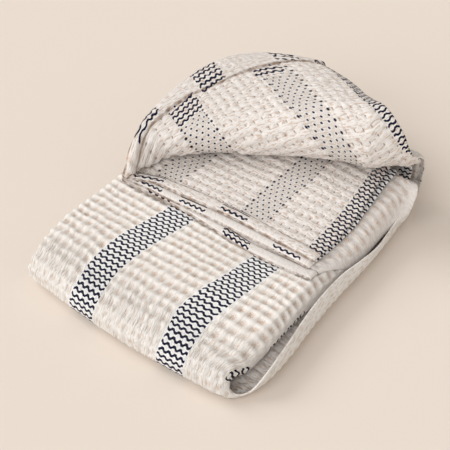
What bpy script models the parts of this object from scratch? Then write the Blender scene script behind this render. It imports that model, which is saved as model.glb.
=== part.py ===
"""Waffle weave cotton blanket, folded flat, with the top fold opened towards the back.

The blanket is one woven length with a turned hem at each end.  It is doubled across its
width with the reverse inside, so an outer half and an inner half meet in the fold down
the left side.  The doubled cloth then runs from the hem on top to the back, down and
forward along the floor, up round the front roll, back again, and round inside the rear
to its other hem.  Last, the front right corner of the top outer half is turned back.

The cloth is first a flat sheet with two coordinates: u across it, nought on the left
fold, positive on the outer half and negative on the inner half, and s along it from the
top hem.  Every point is then carried from the flat sheet to its folded place.
+X is to the right, +Y to the back and +Z up, with the origin on the floor, under the
middle of the folded blanket.
"""

import math

import bmesh
import bpy
import numpy as np

MM = 0.001

# Driving dimensions: the folded blanket's width and depth on the floor, the cloth's
# thickness, the radius and length of the margin that bends over the right side, how far
# that margin is drawn in at the front roll and at the rear, how far it swells out on the
# turned corner, how much higher it stands beside the base, and the share of it drawn in at
# the lower hem.
WIDTH = 317.5 * MM
DEPTH = 435.0 * MM
SHEET = 3.0 * MM
LIP_RADIUS = 17.0 * MM
LIP_MARGIN = 34.0 * MM
FRONT_TUCK = 15.0 * MM
REAR_TUCK = 24.0 * MM
CORNER_SWELL = 20.0 * MM
LIP_STAND = 10.0 * MM
HEM_DRAW = 0.9

# Stations along the doubled cloth, from the top hem to the hem under it, in millimetres.
# y, z   the middle of the pair        gap    half the distance between its halves
# left   x of the left fold            turn   x where the outer half bends at the right
# lip    degrees it bends, inwards if positive
# inner  x of the inner half's edge
STATIONS = (
    # y    z     gap   left  turn  lip  inner
    (178, 56.5, 3.4, -3, 316, 0, 299),
    (210, 56.5, 3.4, -6, 313, 0, 299),
    (260, 57.0, 3.4, -16, 303, 0, 298),
    (310, 58.5, 3.6, -18, 301, 0, 296),
    (360, 61.0, 4.0, -16, 302, 0, 293),
    (400, 62.0, 4.5, -12, 306, 0, 292),
    (426, 59.0, 5.2, -8, 303, 20, 294),
    (442, 48.0, 6.0, -6, 303, 40, 298),
    (444, 30.0, 6.0, -6, 303, 50, 298),
    (434, 14.0, 5.6, -6, 304, 45, 299),
    (412, 6.7, 5.2, -8, 306, 40, 301),
    (380, 6.5, 5.0, -10, 309, 70, 303),
    (300, 6.5, 5.0, -14, 315, 102, 305),
    (220, 6.5, 5.0, -17, 318, 108, 305),
    (140, 6.5, 5.0, -20, 323, 110, 305),
    (80, 6.5, 5.0, -22, 327.5, 106, 304),
    (35, 6.5, 5.0, -14, 327, 90, 303),
    (9, 6.8, 5.0, 0, 320, 66, 302),
    (-1.5, 11.5, 5.0, 4, 313, 64, 302),
    (-4.8, 20.3, 5.0, 5, 308, 68, 302),
    (-0.5, 29.2, 5.0, 4, 305, 76, 302),
    (10, 33.6, 5.0, 0, 303, 82, 302),
    (35, 34.0, 5.0, -12, 302, 86, 303),
    (80, 34.0, 5.0, -22, 302, 88, 303),
    (140, 34.0, 5.0, -20, 303, 88, 304),
    (200, 34.0, 5.0, -22, 304, 88, 304),
    (270, 34.2, 5.0, -24, 304, 86, 304),
    (340, 34.6, 4.6, -20, 304, 76, 302),
    (385, 34.8, 3.2, -14, 306, 32, 300),
    (398.5, 35.0, 2.3, -11, 307, 2, 298),
    (403.2, 36.9, 2.2, -10, 308, 0, 297),
    (405.1, 41.5, 2.2, -9, 309, 0, 297),
    (403.2, 46.1, 2.2, -10, 309, 0, 297),
    (398.5, 48.0, 2.3, -11, 309, -1, 297),
    (385, 48.0, 2.6, -14, 308, -24, 298),
    (340, 47.6, 2.6, -22, 305, -66, 299),
    (270, 46.6, 2.6, -30, 305, -76, 300),
    (215, 46.2, 2.6, -20, 306, -66, 300),
    (172, 46.0, 2.6, -2, 306, -18, 298),
)
HEM_Y = STATIONS[0][0] * MM

# The crease about which the corner of the top outer half is turned back: its ends, as x
# and distance from the front of the blanket, its bow towards the back, the radius and the
# angle of its bend at the left and the right end, and the much larger radius on which the
# turned part then lies.  Near the left fold the crease eases forward to meet the hem.
CREASE_LEFT = (-90.0 * MM, 124.0 * MM)
CREASE_RIGHT = (257.0 * MM, 375.0 * MM)
CREASE_BOW = 43.0 * MM
CREASE_RADIUS = (5.6 * MM, 40.0 * MM)
CREASE_TURN = (math.radians(156), math.radians(203))
FLAP_RADIUS = 670.0 * MM
CREASE_EASE = 37.0 * MM
EASE_WIDTH = 45.0 * MM

# The top outer half's hem is drawn forward of the inner half's towards its corner.
FLAP_REACH = 355.0 * MM
HEM_CORNER = -61.0 * MM
HEM_BOW = -27.0 * MM
HEM_WAVE = 4.0 * MM

# Settling: the loft of the rear and the height up to which it grows, its skew at the
# left, and the swell of soft folds.
FLOOR_LAYER = SHEET / 2
REAR_LOFT = 0.42
LOFT_HEIGHT = 62.0 * MM
REAR_SKEW = 45.0 * MM
FRONT_BOW = 9.0 * MM
SWELL = 1.6 * MM

# Size of the mesh: rows fall closer where the cloth turns.
ROW_LENGTH = 30.0 * MM
ROW_TURN = math.radians(26)
INNER_COLUMNS = 10
FOLD_COLUMNS = 4
OUTER_COLUMNS = 12
LIP_COLUMNS = 4
BEND_CUTS = 7


def ramp(value, low, high):
    """Smooth rise from nought at low to one at high."""
    t = np.clip((value - low) / (high - low), 0, 1)
    return t * t * (3 - 2 * t)


class Path:
    """The folded pair at distance s along the cloth, on a smooth curve through STATIONS."""

    STEPS = 24

    def __init__(self):
        rows = np.array(STATIONS, float)
        rows[:, 5] = np.radians(rows[:, 5]) / MM
        rows *= MM
        chord = np.hypot(*np.diff(rows[:, :2], axis=0).T)
        knots = np.concatenate([[0], np.cumsum(chord)])
        slope = np.gradient(rows, knots, axis=0)
        dense = []
        for i, length in enumerate(chord):
            t = np.linspace(0, 1, self.STEPS, endpoint=False)[:, None]
            dense.append(
                (2 * t**3 - 3 * t**2 + 1) * rows[i]
                + (t**3 - 2 * t**2 + t) * length * slope[i]
                + (3 * t**2 - 2 * t**3) * rows[i + 1]
                + (t**3 - t**2) * length * slope[i + 1]
            )
        self.rows = np.vstack(dense + [rows[-1:]])
        steps = np.hypot(*np.diff(self.rows[:, :2], axis=0).T)
        self.s = np.concatenate([[0], np.cumsum(steps)])
        self.length = self.s[-1]
        along_y, along_z = np.gradient(self.rows[:, :2], self.s, axis=0).T
        self.heading = np.unwrap(np.arctan2(along_z, along_y))

    def at(self, s):
        """The stations' columns at s, and the cosine and sine of the way the path heads."""
        heading = np.interp(s, self.s, self.heading)
        columns = [np.interp(s, self.s, column) for column in self.rows.T]
        return columns + [np.cos(heading), np.sin(heading)]


PATH = Path()


def pair_point(u, s):
    """Place of (u, s) in the folded pair, before the corner is turned back."""
    y, z, gap, left, turn, lip, _, ahead_y, ahead_z = PATH.at(s)
    reach = np.abs(u)
    angle = np.minimum(reach / gap, math.pi / 2)
    x = left + gap * (1 - np.cos(angle)) + np.maximum(reach - gap * math.pi / 2, 0)
    out = gap * np.sin(angle)
    past = np.where(u > 0, np.maximum(x - turn, 0), 0)
    bend = np.minimum(past / LIP_RADIUS, np.abs(lip))
    rest = past - LIP_RADIUS * bend
    x = x - past + LIP_RADIUS * np.sin(bend) + rest * np.cos(bend)
    drop = LIP_RADIUS * (1 - np.cos(bend)) + rest * np.sin(bend)
    out = np.where(u > 0, out - np.sign(lip) * drop, -out)
    return np.stack([x, y - out * ahead_z, z + out * ahead_y], -1)


def crease_place(u, s):
    """Where (u, s) lies from the crease: its share along it, its distance past it, and its foot."""
    _, _, gap, left, _, _, _, _, _ = PATH.at(s)
    x = left + gap + u - gap * math.pi / 2
    v = s + HEM_Y
    start = np.array(CREASE_LEFT)
    chord = np.array(CREASE_RIGHT) - start
    length = np.hypot(*chord)
    run_x, run_v = chord / length
    share = ((x - start[0]) * run_x + (v - start[1]) * run_v) / length
    past = (x - start[0]) * run_v - (v - start[1]) * run_x
    past = past + CREASE_BOW * np.sin(math.pi * np.clip(share, 0, 1))
    past = past - CREASE_EASE * (1 - ramp(u, 0, EASE_WIDTH))
    foot_x = x - past * run_v
    foot_s = v + past * run_x - HEM_Y
    return np.clip(share, 0, 1), past, foot_x, foot_s, (run_v, -run_x)


def bend_at(share):
    """Radius and angle of the crease's bend at a share of its length."""
    radius = CREASE_RADIUS[0] + (CREASE_RADIUS[1] - CREASE_RADIUS[0]) * share
    turn = CREASE_TURN[0] + (CREASE_TURN[1] - CREASE_TURN[0]) * share
    return radius, turn


def turned_back(u, s):
    """The corner of the top outer half, bent up and back about its bowed crease."""
    share, past, foot_x, foot_s, (across_x, across_s) = crease_place(u, s)
    y, z, gap, _, _, _, _, ahead_y, ahead_z = PATH.at(foot_s)
    radius, turn = bend_at(share)
    bend = np.clip(past / radius, 0, turn)
    rest = np.maximum(past - radius * turn, 0) / FLAP_RADIUS
    out = radius * np.sin(bend) + FLAP_RADIUS * (np.sin(turn + rest) - np.sin(turn))
    rise = radius * (1 - np.cos(bend)) - FLAP_RADIUS * (np.cos(turn + rest) - np.cos(turn))
    rise = rise + gap
    x = foot_x + across_x * out
    y = y + across_s * out * ahead_y - rise * ahead_z
    z = z + across_s * out * ahead_z + rise * ahead_y
    return np.stack([x, y, z], -1), past


def settled(point):
    """Loft and skew of the rear and the swell of soft folds; the floor layer stays flat."""
    x, y, z = np.moveaxis(point, -1, 0)
    z = np.maximum(z, FLOOR_LAYER)
    above = np.minimum(z - FLOOR_LAYER, LOFT_HEIGHT)
    loft = ramp(y, 170 * MM, 400 * MM) * (0.75 + 0.25 * ramp(x, 0, 200 * MM))
    soft = ramp(above, 0, 30 * MM)
    swell = np.sin(x / (31 * MM) + 0.6) * np.sin(y / (43 * MM) + 0.4)
    swell = swell + 0.7 * np.sin(x / (57 * MM) - y / (38 * MM))
    bow = np.sin(math.pi * np.clip(x / WIDTH, 0, 1)) * (1 - ramp(y, 0, 140 * MM))
    skew = ramp(y, 300 * MM, 440 * MM) * (1 - ramp(x, 60 * MM, 300 * MM))
    return np.stack(
        [
            x + 2.5 * MM * soft * np.sin(y / (36 * MM)) - WIDTH / 2,
            y - FRONT_BOW * bow + REAR_SKEW * skew - DEPTH / 2,
            z + above * REAR_LOFT * loft + SWELL * soft * swell,
        ],
        -1,
    )


def folded_point(u, s):
    """Place of (u, s) in the folded blanket."""
    flap, past = turned_back(u, s)
    is_flap = (past > 0) & (u > 0)
    return settled(np.where(is_flap[..., None], flap, pair_point(u, s)))


def face_normal(u, s):
    """Unit normal on the cloth's face side, by differences over half a millimetre."""
    step = 0.25 * MM
    across = folded_point(u + step, s) - folded_point(u - step, s)
    along = folded_point(u, s + step) - folded_point(u, s - step)
    normal = np.cross(across, along)
    return normal / np.linalg.norm(normal, axis=-1, keepdims=True)


def top_hem(u):
    """s of the top hem: behind the start on the inner half, drawn forward on the outer."""
    share = np.clip(u / FLAP_REACH, 0, 1)
    inner = ramp(-u, 0, 60 * MM)
    drawn = HEM_CORNER * share + HEM_BOW * 4 * share * (1 - share)
    return drawn + inner * (22 * MM + HEM_WAVE * np.sin(u / (47 * MM)))


def under_hem(u):
    """How far short of the path's end the lower hem lies; the inner half is the shorter."""
    inner = ramp(-u, -10 * MM, 60 * MM)
    return 3 * MM + 9 * MM * inner + HEM_WAVE * (1 + np.sin(u / (52 * MM)))


def row_places():
    """s of each row across the cloth."""
    turned = np.concatenate([[0], np.cumsum(np.abs(np.diff(PATH.heading)))])
    detail = PATH.s / ROW_LENGTH + turned / ROW_TURN
    rows = int(round(detail[-1])) + 1
    return np.interp(np.linspace(0, detail[-1], rows), detail, PATH.s)


def column_places(s):
    """u of each column at s: inner half, left fold, outer half and its right margin."""
    y, _, gap, left, turn, _, inner, _, _ = PATH.at(s)
    quarter = gap * math.pi / 2
    near = left + gap
    margin = LIP_MARGIN - FRONT_TUCK * (1 - ramp(y, 5 * MM, 45 * MM))
    margin = margin - REAR_TUCK * ramp(y, 370 * MM, 425 * MM)
    swell = ramp(s, 0, 70 * MM) * (1 - ramp(s, 90 * MM, 210 * MM))
    margin = margin + CORNER_SWELL * swell
    stand = ramp(s, 430 * MM, 530 * MM) * (1 - ramp(s, 670 * MM, 730 * MM))
    margin = margin + LIP_STAND * stand
    margin = margin * (1 - HEM_DRAW * ramp(s, PATH.length - 95 * MM, PATH.length - 12 * MM))
    return np.concatenate(
        [
            np.linspace(near - inner, 0, INNER_COLUMNS + 1)[:-1] - quarter,
            np.linspace(-quarter, quarter, FOLD_COLUMNS + 1),
            np.linspace(0, turn - near, OUTER_COLUMNS + 1)[1:] + quarter,
            np.linspace(0, margin, LIP_COLUMNS + 1)[1:] + quarter + turn - near,
        ]
    )


def flat_sheet():
    """The blanket laid flat as quads in (u, s), its rows drawn out to both hems."""
    sheet = bmesh.new()
    layers = [sheet.verts.layers.float.new(name) for name in ("u", "s")]
    hem_rows = 250 * MM
    grid = []
    for s in row_places():
        u = column_places(s)
        drawn = top_hem(u) * np.clip(1 - s / hem_rows, 0, 1)
        short = under_hem(u) * np.clip(1 - (PATH.length - s) / hem_rows, 0, 1)
        row = []
        for place in zip(u, s + drawn - short):
            vert = sheet.verts.new((*place, 0))
            for layer, value in zip(layers, place):
                vert[layer] = value
            row.append(vert)
        grid.append(row)
    for row, following in zip(grid, grid[1:]):
        for i in range(len(row) - 1):
            sheet.faces.new((row[i], row[i + 1], following[i + 1], following[i]))
    return sheet, layers


def cut_along_crease(sheet, layers):
    """Extra edges along the bend of the crease, evenly spaced round it."""
    verts = list(sheet.verts)
    u, s = (np.array([vert[layer] for vert in verts]) for layer in layers)
    share, past, _, _, _ = crease_place(u, s)
    radius, turn = bend_at(share)
    round_bend = past / (radius * turn)
    top_pass = (u > 0) & (s < CREASE_RIGHT[1] - HEM_Y + 40 * MM)
    for vert, along, around in zip(verts, share, round_bend):
        vert.co = (along, around, 0)
    inside = {vert for vert, top in zip(verts, top_pass) if top}
    for cut in range(BEND_CUTS + 1):
        faces = [face for face in sheet.faces if inside.issuperset(face.verts)]
        edges = {edge for face in faces for edge in face.edges}
        found = {vert for face in faces for vert in face.verts}
        place = (0, cut / BEND_CUTS, 0)
        made = bmesh.ops.bisect_plane(
            sheet, geom=faces + list(edges) + list(found), dist=1e-4, plane_co=place, plane_no=(0, 1, 0)
        )
        inside.update(item for item in made["geom_cut"] if isinstance(item, bmesh.types.BMVert))


def closed_cloth(sheet, layers):
    """Both sides of the sheet in their folded place, and the narrow edge between them."""
    sheet.verts.index_update()
    u, s = (np.array([vert[layer] for vert in sheet.verts]) for layer in layers)
    middle = folded_point(u, s)
    half = face_normal(u, s) * SHEET / 2
    count = len(u)
    faces = []
    for face in sheet.faces:
        corners = [vert.index for vert in face.verts]
        faces.append(corners)
        faces.append([count + corner for corner in reversed(corners)])
    for edge in sheet.edges:
        if edge.is_boundary:
            loop = edge.link_loops[0]
            a, b = loop.vert.index, loop.link_loop_next.vert.index
            faces.append([b, a, count + a, count + b])
    return np.vstack([middle + half, middle - half]), faces


def cotton():
    material = bpy.data.materials.new("undyed_cotton")
    material.use_nodes = True
    shader = material.node_tree.nodes["Principled BSDF"]
    shader.inputs["Base Color"].default_value = (0.85, 0.80, 0.73, 1)
    shader.inputs["Roughness"].default_value = 0.92
    shader.inputs["Metallic"].default_value = 0.0
    return material


def build():
    for thing in list(bpy.data.objects):
        bpy.data.objects.remove(thing, do_unlink=True)
    sheet, layers = flat_sheet()
    cut_along_crease(sheet, layers)
    points, faces = closed_cloth(sheet, layers)
    sheet.free()
    mesh = bpy.data.meshes.new("blanket")
    mesh.from_pydata(points.tolist(), [], faces)
    mesh.shade_smooth()
    mesh.materials.append(cotton())
    bpy.context.collection.objects.link(bpy.data.objects.new("blanket", mesh))


build()
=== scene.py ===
"""Waffle weave cotton blanket, folded flat, with the corner of its top fold turned back.

The blanket is one woven length, doubled across its width and folded back and forth.  It is
drawn here in four stretches of the same cloth, in the order in which it was folded: the
layer on the floor, the front roll with the base above it, the pass inside, and the top fold
with its open page and its turned corner.
"""

import math
from functools import partial

import bpy
import numpy as np
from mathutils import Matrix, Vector


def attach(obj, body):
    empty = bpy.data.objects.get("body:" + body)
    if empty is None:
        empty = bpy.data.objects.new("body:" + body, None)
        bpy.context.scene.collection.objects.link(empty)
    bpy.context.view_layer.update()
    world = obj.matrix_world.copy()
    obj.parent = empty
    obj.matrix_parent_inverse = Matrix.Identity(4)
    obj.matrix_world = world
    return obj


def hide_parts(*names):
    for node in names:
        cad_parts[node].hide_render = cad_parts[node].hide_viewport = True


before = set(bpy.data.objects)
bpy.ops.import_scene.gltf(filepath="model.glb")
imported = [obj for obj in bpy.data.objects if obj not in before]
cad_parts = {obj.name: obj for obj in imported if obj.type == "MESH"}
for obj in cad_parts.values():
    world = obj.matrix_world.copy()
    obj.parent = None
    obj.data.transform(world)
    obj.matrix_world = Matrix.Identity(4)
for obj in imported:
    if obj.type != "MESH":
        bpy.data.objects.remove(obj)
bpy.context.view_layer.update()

# ---------------------------------------------------------------------------------------
# The layer on the floor.  It is the plain middle of the woven cotton, doubled and laid face
# down, and held by its folds and the weight of what lies on it.  Its making brings in what
# the whole cloth shares: the way it is folded, the relief of the waffle weave, the closed
# sheet with its rounded edges, and the two sides' finishes.

MM = 0.001
WIDTH = 317.5 * MM
DEPTH = 435.0 * MM
SHEET = 3.0 * MM

# The outer margin, which bends down or up at the right: the radius of its bend and its width;
# how much narrower it is at the front roll and at the rear fold; how far it swells out on the
# turned corner; how much wider it is where it stands up as a lip beside the base; and the
# share of it that is drawn in at the lower hem.
LIP_RADIUS = 17.0 * MM
LIP_MARGIN = 34.0 * MM
FRONT_TUCK = 15.0 * MM
REAR_TUCK = 24.0 * MM
CORNER_SWELL = 20.0 * MM
LIP_STAND = 10.0 * MM
HEM_DRAW = 0.9

# Where each of these comes and goes: from front to rear, along the cloth, and the last from
# the cloth's end.
FRONT_TUCK_RUN = (5 * MM, 45 * MM)
REAR_TUCK_RUN = (370 * MM, 425 * MM)
SWELL_RISE = (0, 70 * MM)
SWELL_FALL = (90 * MM, 210 * MM)
STAND_RISE = (430 * MM, 530 * MM)
STAND_FALL = (670 * MM, 730 * MM)
DRAW_START = 95 * MM
DRAW_FULL = 12 * MM

# Stations along the doubled cloth, from the top hem to the hem under it, in millimetres.
# y, z   the middle of the pair        gap    half the distance between its halves
# left   x of the left fold            turn   x where the outer half bends at the right
# lip    degrees it bends, inwards if positive
# inner  x of the inner half's edge
STATIONS = (
    # y    z     gap   left  turn  lip  inner
    (178, 56.5, 3.4, -3, 316, 0, 299),
    (210, 56.5, 3.4, -6, 313, 0, 299),
    (260, 57.0, 3.4, -16, 303, 0, 298),
    (310, 58.5, 3.6, -18, 301, 0, 296),
    (360, 61.0, 4.0, -16, 302, 0, 293),
    (400, 62.0, 4.5, -12, 306, 0, 292),
    (426, 59.0, 5.2, -8, 303, 20, 294),
    (442, 48.0, 6.0, -6, 303, 40, 298),
    (444, 30.0, 6.0, -6, 303, 50, 298),
    (434, 14.0, 5.6, -6, 304, 45, 299),
    (412, 6.7, 5.2, -8, 306, 40, 301),
    (380, 6.5, 5.0, -10, 309, 70, 303),
    (300, 6.5, 5.0, -14, 315, 102, 305),
    (220, 6.5, 5.0, -17, 318, 108, 305),
    (140, 6.5, 5.0, -20, 323, 110, 305),
    (80, 6.5, 5.0, -22, 327.5, 106, 304),
    (35, 6.5, 5.0, -14, 327, 90, 303),
    (9, 6.8, 5.0, 0, 320, 66, 302),
    (-1.5, 11.5, 5.0, 4, 313, 64, 302),
    (-4.8, 20.3, 5.0, 5, 308, 68, 302),
    (-0.5, 29.2, 5.0, 4, 305, 76, 302),
    (10, 33.6, 5.0, 0, 303, 82, 302),
    (35, 34.0, 5.0, -12, 302, 86, 303),
    (80, 34.0, 5.0, -22, 302, 88, 303),
    (140, 34.0, 5.0, -20, 303, 88, 304),
    (200, 34.0, 5.0, -22, 304, 88, 304),
    (270, 34.2, 5.0, -24, 304, 86, 304),
    (340, 34.6, 4.6, -20, 304, 76, 302),
    (385, 34.8, 3.2, -14, 306, 32, 300),
    (398.5, 35.0, 2.3, -11, 307, 2, 298),
    (403.2, 36.9, 2.2, -10, 308, 0, 297),
    (405.1, 41.5, 2.2, -9, 309, 0, 297),
    (403.2, 46.1, 2.2, -10, 309, 0, 297),
    (398.5, 48.0, 2.3, -11, 309, -1, 297),
    (385, 48.0, 2.6, -14, 308, -24, 298),
    (340, 47.6, 2.6, -22, 305, -66, 299),
    (270, 46.6, 2.6, -30, 305, -76, 300),
    (215, 46.2, 2.6, -20, 306, -66, 300),
    (172, 46.0, 2.6, -2, 306, -18, 298),
)
HEM_Y = STATIONS[0][0] * MM

# The crease about which the corner of the top outer half is turned back: its ends, its bow,
# the radius and angle of its bend at the left and the right, and the radius past it.
CREASE_LEFT = (-90.0 * MM, 124.0 * MM)
CREASE_RIGHT = (257.0 * MM, 375.0 * MM)
CREASE_BOW = 43.0 * MM
CREASE_RADIUS = (5.6 * MM, 40.0 * MM)
CREASE_TURN = (math.radians(156), math.radians(203))
FLAP_RADIUS = 670.0 * MM
CREASE_EASE = 37.0 * MM
EASE_WIDTH = 45.0 * MM

# Settling of the folded cloth: the loft and skew of the rear, the bow of the front, and the
# swell and sway of soft folds, in slow waves 0.2 to 0.35 m long.  The runs are from front to
# rear or from left to right.
FLOOR_LAYER = SHEET / 2
REAR_LOFT = 0.42
LOFT_HEIGHT = 62.0 * MM
LOFT_RUN = (170 * MM, 400 * MM)
LOFT_ACROSS = (0, 200 * MM)
REAR_SKEW = 45.0 * MM
SKEW_RUN = (300 * MM, 440 * MM)
SKEW_ACROSS = (60 * MM, 300 * MM)
FRONT_BOW = 9.0 * MM
BOW_RUN = (0, 140 * MM)
SWELL = 1.6 * MM
SWAY = 2.5 * MM


def ramp(value, low, high):
    """Smooth rise from nought at low to one at high."""
    t = np.clip((value - low) / (high - low), 0, 1)
    return t * t * (3 - 2 * t)


class Path:
    """The folded pair at distance s along the cloth, on a smooth curve through STATIONS."""

    STEPS = 24

    def __init__(self):
        rows = np.array(STATIONS, float)
        rows[:, 5] = np.radians(rows[:, 5]) / MM
        rows *= MM
        chord = np.hypot(*np.diff(rows[:, :2], axis=0).T)
        knots = np.concatenate([[0], np.cumsum(chord)])
        slope = np.gradient(rows, knots, axis=0)
        dense = []
        for i, length in enumerate(chord):
            t = np.linspace(0, 1, self.STEPS, endpoint=False)[:, None]
            dense.append(
                (2 * t**3 - 3 * t**2 + 1) * rows[i]
                + (t**3 - 2 * t**2 + t) * length * slope[i]
                + (3 * t**2 - 2 * t**3) * rows[i + 1]
                + (t**3 - t**2) * length * slope[i + 1]
            )
        self.rows = np.vstack(dense + [rows[-1:]])
        steps = np.hypot(*np.diff(self.rows[:, :2], axis=0).T)
        self.s = np.concatenate([[0], np.cumsum(steps)])
        self.length = self.s[-1]
        along_y, along_z = np.gradient(self.rows[:, :2], self.s, axis=0).T
        self.heading = np.unwrap(np.arctan2(along_z, along_y))

    def at(self, s):
        """The stations' columns at s, and the cosine and sine of the way the path heads."""
        heading = np.interp(s, self.s, self.heading)
        columns = [np.interp(s, self.s, column) for column in self.rows.T]
        return columns + [np.cos(heading), np.sin(heading)]


PATH = Path()


def pair_point(u, s):
    """Place of (u, s) in the folded pair, before the corner is turned back."""
    y, z, gap, left, turn, lip, _, ahead_y, ahead_z = PATH.at(s)
    reach = np.abs(u)
    angle = np.minimum(reach / gap, math.pi / 2)
    x = left + gap * (1 - np.cos(angle)) + np.maximum(reach - gap * math.pi / 2, 0)
    out = gap * np.sin(angle)
    past = np.where(u > 0, np.maximum(x - turn, 0), 0)
    bend = np.minimum(past / LIP_RADIUS, np.abs(lip))
    rest = past - LIP_RADIUS * bend
    x = x - past + LIP_RADIUS * np.sin(bend) + rest * np.cos(bend)
    drop = LIP_RADIUS * (1 - np.cos(bend)) + rest * np.sin(bend)
    out = np.where(u > 0, out - np.sign(lip) * drop, -out)
    return np.stack([x, y - out * ahead_z, z + out * ahead_y], -1)


def crease_place(u, s):
    """Where (u, s) lies from the crease: its share along it, its distance past it, its foot."""
    _, _, gap, left, _, _, _, _, _ = PATH.at(s)
    x = left + gap + u - gap * math.pi / 2
    v = s + HEM_Y
    start = np.array(CREASE_LEFT)
    chord = np.array(CREASE_RIGHT) - start
    length = np.hypot(*chord)
    run_x, run_v = chord / length
    share = ((x - start[0]) * run_x + (v - start[1]) * run_v) / length
    past = (x - start[0]) * run_v - (v - start[1]) * run_x
    past = past + CREASE_BOW * np.sin(math.pi * np.clip(share, 0, 1))
    past = past - CREASE_EASE * (1 - ramp(u, 0, EASE_WIDTH))
    foot_x = x - past * run_v
    foot_s = v + past * run_x - HEM_Y
    return np.clip(share, 0, 1), past, foot_x, foot_s, (run_v, -run_x)


def turned_back(u, s):
    """The corner of the top outer half, bent up and back about its bowed crease."""
    share, past, foot_x, foot_s, (across_x, across_s) = crease_place(u, s)
    y, z, gap, _, _, _, _, ahead_y, ahead_z = PATH.at(foot_s)
    radius = CREASE_RADIUS[0] + (CREASE_RADIUS[1] - CREASE_RADIUS[0]) * share
    turn = CREASE_TURN[0] + (CREASE_TURN[1] - CREASE_TURN[0]) * share
    bend = np.clip(past / radius, 0, turn)
    rest = np.maximum(past - radius * turn, 0) / FLAP_RADIUS
    out = radius * np.sin(bend) + FLAP_RADIUS * (np.sin(turn + rest) - np.sin(turn))
    rise = radius * (1 - np.cos(bend)) - FLAP_RADIUS * (np.cos(turn + rest) - np.cos(turn))
    rise = rise + gap
    x = foot_x + across_x * out
    y = y + across_s * out * ahead_y - rise * ahead_z
    z = z + across_s * out * ahead_z + rise * ahead_y
    return np.stack([x, y, z], -1), past


def settled(point):
    """Loft and skew of the rear and the swell of soft folds; the floor layer stays flat."""
    x, y, z = np.moveaxis(point, -1, 0)
    z = np.maximum(z, FLOOR_LAYER)
    above = np.minimum(z - FLOOR_LAYER, LOFT_HEIGHT)
    loft = ramp(y, *LOFT_RUN) * (0.75 + 0.25 * ramp(x, *LOFT_ACROSS))
    soft = ramp(above, 0, 30 * MM)
    swell = np.sin(x / (31 * MM) + 0.6) * np.sin(y / (43 * MM) + 0.4)
    swell = swell + 0.7 * np.sin(x / (57 * MM) - y / (38 * MM))
    bow = np.sin(math.pi * np.clip(x / WIDTH, 0, 1)) * (1 - ramp(y, *BOW_RUN))
    skew = ramp(y, *SKEW_RUN) * (1 - ramp(x, *SKEW_ACROSS))
    return np.stack(
        [
            x + SWAY * soft * np.sin(y / (36 * MM)) - WIDTH / 2,
            y - FRONT_BOW * bow + REAR_SKEW * skew - DEPTH / 2,
            z + above * REAR_LOFT * loft + SWELL * soft * swell,
        ],
        -1,
    )


def folded_point(u, s):
    """Place of (u, s) in the folded blanket."""
    flap, past = turned_back(u, s)
    is_flap = (past > 0) & (u > 0)
    return settled(np.where(is_flap[..., None], flap, pair_point(u, s)))


def face_normal(u, s):
    """Unit normal on the cloth's face side, by differences over half a millimetre."""
    step = 0.25 * MM
    across = folded_point(u + step, s) - folded_point(u - step, s)
    along = folded_point(u, s + step) - folded_point(u, s - step)
    normal = np.cross(across, along)
    return normal / np.maximum(np.linalg.norm(normal, axis=-1, keepdims=True), 1e-12)


# The cloth's hems: the top outer half's hem is drawn forward towards its corner, bowed, and
# the first HEM_ROWS of its rows with it; the inner half's hem lies a little behind.  The
# lower hem's inner half is the shorter.  The inner edges wave a little.
FLAP_REACH = 355.0 * MM
HEM_CORNER = -61.0 * MM
HEM_BOW = -27.0 * MM
HEM_ROWS = 250.0 * MM
HEM_WAVE = 4.0 * MM
INNER_BEHIND = 22 * MM
UNDER_SHORT = 3 * MM
UNDER_INNER_SHORT = 9 * MM


def top_hem(u):
    """s of the top hem: behind the start on the inner half, drawn forward on the outer."""
    share = np.clip(u / FLAP_REACH, 0, 1)
    inner = ramp(-u, 0, 60 * MM)
    drawn = HEM_CORNER * share + HEM_BOW * 4 * share * (1 - share)
    return drawn + inner * (INNER_BEHIND + HEM_WAVE * np.sin(u / (47 * MM)))


def under_hem(u):
    """How far short of the path's end the lower hem lies; the inner half is the shorter."""
    inner = ramp(-u, -10 * MM, 60 * MM)
    return UNDER_SHORT + UNDER_INNER_SHORT * inner + HEM_WAVE * (1 + np.sin(u / (52 * MM)))


# The weave: a waffle cell, the cloth's two selvedges, counted in whole cells, and its navy
# bands, which lie an even pitch apart right across the cloth.
CELL_ACROSS = 12.5 * MM
CELL_ALONG = 13.25 * MM
INNER_EDGE = -24 * CELL_ACROSS
OUTER_EDGE = 26 * CELL_ACROSS
BAND_PITCH = 141.5 * MM
BAND_CENTRE = 95.5 * MM
BAND_HALF = 19.6 * MM
BORDER_WIDTH = 21.0 * MM
ROPE_WIDTH = 11.0 * MM

# Places along the weave, in millimetres, and where they lie along the folded sheet: the
# weave is crowded at the foot of the front roll and pulled long over its top.
WEAVE_PLACES = (-200, 729, 782, 855, 1600)
SHEET_PLACES = (-200, 729, 769, 857, 1602)

# How far the weave has slid across the folds, in millimetres: at distance s along the cloth,
# the shift of each of its four bands from an exact fold.
WEAVE_SHIFT = (
    # s    inner far  inner near  outer near  outer far
    (-90, -10, -12, -6, -30),
    (0, -12, -12, -1, -7),
    (45, -13, -13, -1, 8),
    (90, -21, -27, 10, 23),
    (140, -31, -30, 16, 40),
    (220, -34, -30, 16, 40),
    (330, -16, -12, 8, 16),
    (450, 0, 0, 4, 4),
    (700, 0, 0, 10, 8),
    (820, 0, 0, 12, 11),
    (880, 0, 0, 17, 24),
    (940, 0, 0, 32, 31),
    (1170, 0, 0, 30, 30),
)


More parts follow.
